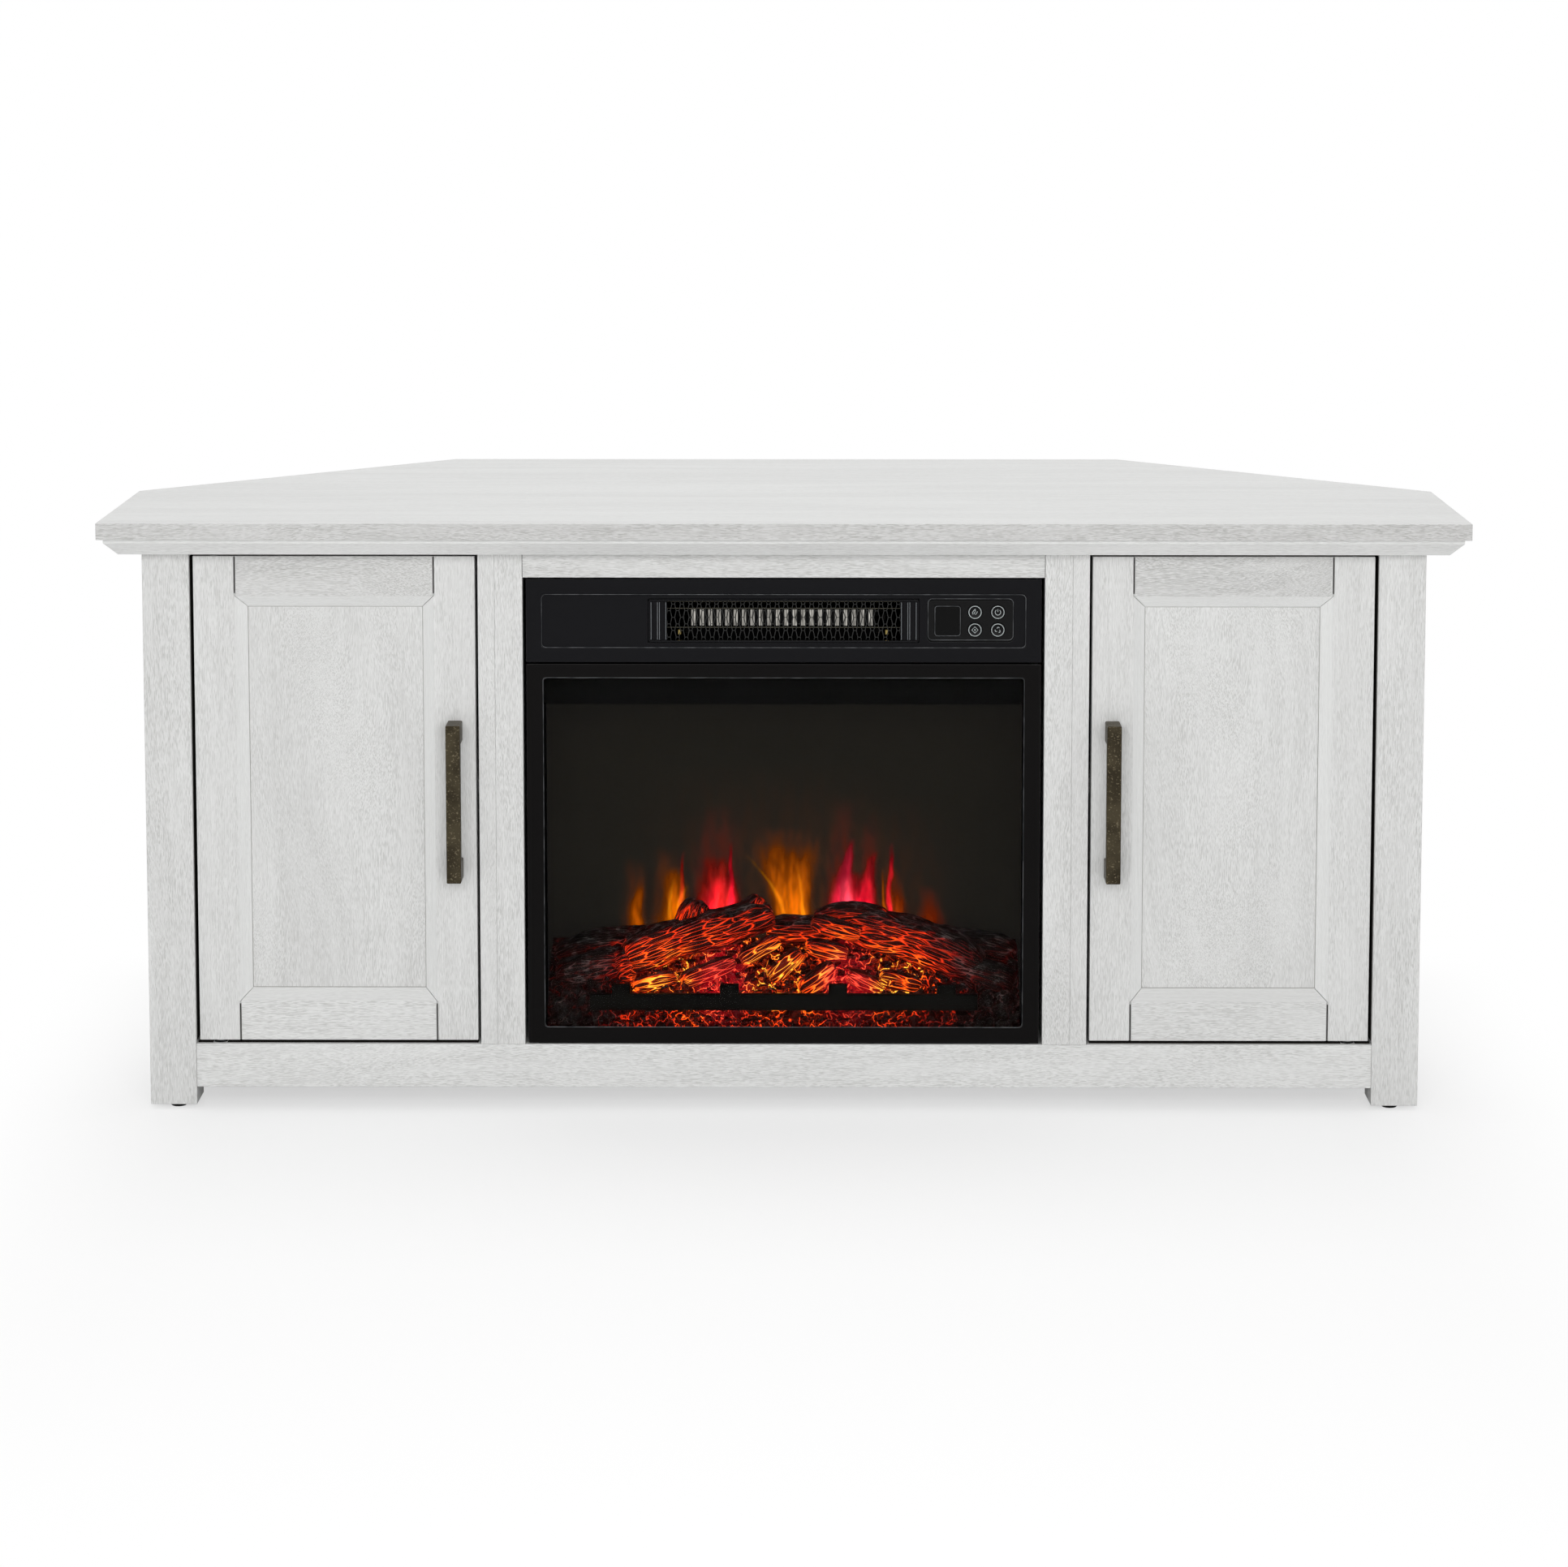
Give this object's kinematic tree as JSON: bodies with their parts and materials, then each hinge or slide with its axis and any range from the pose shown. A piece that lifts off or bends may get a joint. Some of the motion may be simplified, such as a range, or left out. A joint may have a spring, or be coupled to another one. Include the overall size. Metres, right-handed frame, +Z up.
{
  "type": "fireplace tv stand",
  "caption": "Low corner cabinet with a diagonal back, a framed door on pivot pins at each side and an electric log fire with outlet grille and buttons between them.",
  "frame": {"origin": "on the floor under the middle of the top's bounding box", "axes": "+X to the right seen from the front, +Y towards the wall behind, +Z up; the doors and the fire face -Y"},
  "size_m": [1.219, 0.522, 0.54],
  "materials": {
    "oak_laminate": "whitewashed oak laminate with fine grey grain, satin",
    "backing_board": "thin painted fibreboard, matte",
    "handle_bronze": "antique bronze, cast, satin",
    "black_plastic": "black, fine texture",
    "button_plastic": "black with light grey ring and icon",
    "black_steel": "black powder coat, satin",
    "bare_steel": "bright",
    "fire_glass": "clear, polished",
    "flame_screen": "smoked, with flames that glow through it",
    "ember_resin": "charred logs and embers with glowing cracks",
    "heater_alloy": "bare alloy strip"
  },
  "bodies": {
    "cabinet": {"top_panel": "oak_laminate", "sub_top_board": "oak_laminate", "front_post_left": "oak_laminate", "front_post_right": "oak_laminate", "side_panel_left": "oak_laminate", "side_panel_right": "oak_laminate", "bottom_panel": "oak_laminate", "partition_left": "oak_laminate", "partition_right": "oak_laminate", "filler_stile_left": "oak_laminate", "filler_stile_right": "oak_laminate", "top_rail": "oak_laminate", "bottom_rail": "oak_laminate", "back_panel_centre": "backing_board", "back_panel_left": "backing_board", "back_panel_right": "backing_board", "shelf_left": "oak_laminate", "shelf_right": "oak_laminate", "foot_glide_front_left": "black_plastic", "foot_glide_front_right": "black_plastic", "foot_glide_rear_left": "black_plastic", "foot_glide_rear_right": "black_plastic", "pivot_bush_lower_left": "black_plastic", "pivot_bush_lower_right": "black_plastic", "pivot_bush_upper_left": "black_plastic", "pivot_bush_upper_right": "black_plastic", "upper_fascia": "black_steel", "window_frame": "black_steel", "front_glass": "fire_glass", "firebox_shell": "black_steel", "outlet_grille": "black_steel", "control_panel": "black_plastic", "heating_ribbon": "heater_alloy", "spindle_motor": "bare_steel", "flame_screen": "flame_screen", "fire_grate": "black_steel", "log_set": "ember_resin", "cord_gland": "black_plastic"},
    "door_left": {"door_left_hinge_stile": "oak_laminate", "door_left_latch_stile": "oak_laminate", "door_left_top_rail": "oak_laminate", "door_left_bottom_rail": "oak_laminate", "door_left_panel": "oak_laminate", "handle_left": "handle_bronze", "pivot_pin_lower_left": "bare_steel", "pivot_pin_upper_left": "bare_steel"},
    "door_right": {"door_right_hinge_stile": "oak_laminate", "door_right_latch_stile": "oak_laminate", "door_right_top_rail": "oak_laminate", "door_right_bottom_rail": "oak_laminate", "door_right_panel": "oak_laminate", "handle_right": "handle_bronze", "pivot_pin_lower_right": "bare_steel", "pivot_pin_upper_right": "bare_steel"},
    "flame_button": {"button_flame": "button_plastic"},
    "power_button": {"button_power": "button_plastic"},
    "timer_button": {"button_timer": "button_plastic"},
    "heat_button": {"button_heat": "button_plastic"},
    "blower": {"blower_rotor": "bare_steel"},
    "spindle": {"flame_spindle": "bare_steel"}
  },
  "joints": [
    {"name": "left_door_hinge", "type": "hinge", "parent": "cabinet", "child": "door_left", "pos_m": [-0.5115, -0.2145, 0.06], "axis": [0, 0, -1], "range_deg": [0, 110]},
    {"name": "right_door_hinge", "type": "hinge", "parent": "cabinet", "child": "door_right", "pos_m": [0.5115, -0.2145, 0.06], "axis": [0, 0, 1], "range_deg": [0, 110]},
    {"name": "flame_button_press", "type": "slide", "parent": "cabinet", "child": "flame_button", "axis": [0, 1, 0], "range_m": [0, 0.0008], "stiffness_N_per_m": 400},
    {"name": "power_button_press", "type": "slide", "parent": "cabinet", "child": "power_button", "axis": [0, 1, 0], "range_m": [0, 0.0008], "stiffness_N_per_m": 400},
    {"name": "timer_button_press", "type": "slide", "parent": "cabinet", "child": "timer_button", "axis": [0, 1, 0], "range_m": [0, 0.0008], "stiffness_N_per_m": 400},
    {"name": "heat_button_press", "type": "slide", "parent": "cabinet", "child": "heat_button", "axis": [0, 1, 0], "range_m": [0, 0.0008], "stiffness_N_per_m": 400},
    {"name": "blower_spin", "type": "hinge", "parent": "cabinet", "child": "blower", "pos_m": [0, -0.1495, 0.4415], "axis": [1, 0, 0], "continuous": true},
    {"name": "flame_spin", "type": "hinge", "parent": "cabinet", "child": "spindle", "pos_m": [0, -0.0845, 0.11], "axis": [1, 0, 0], "continuous": true}
  ]
}
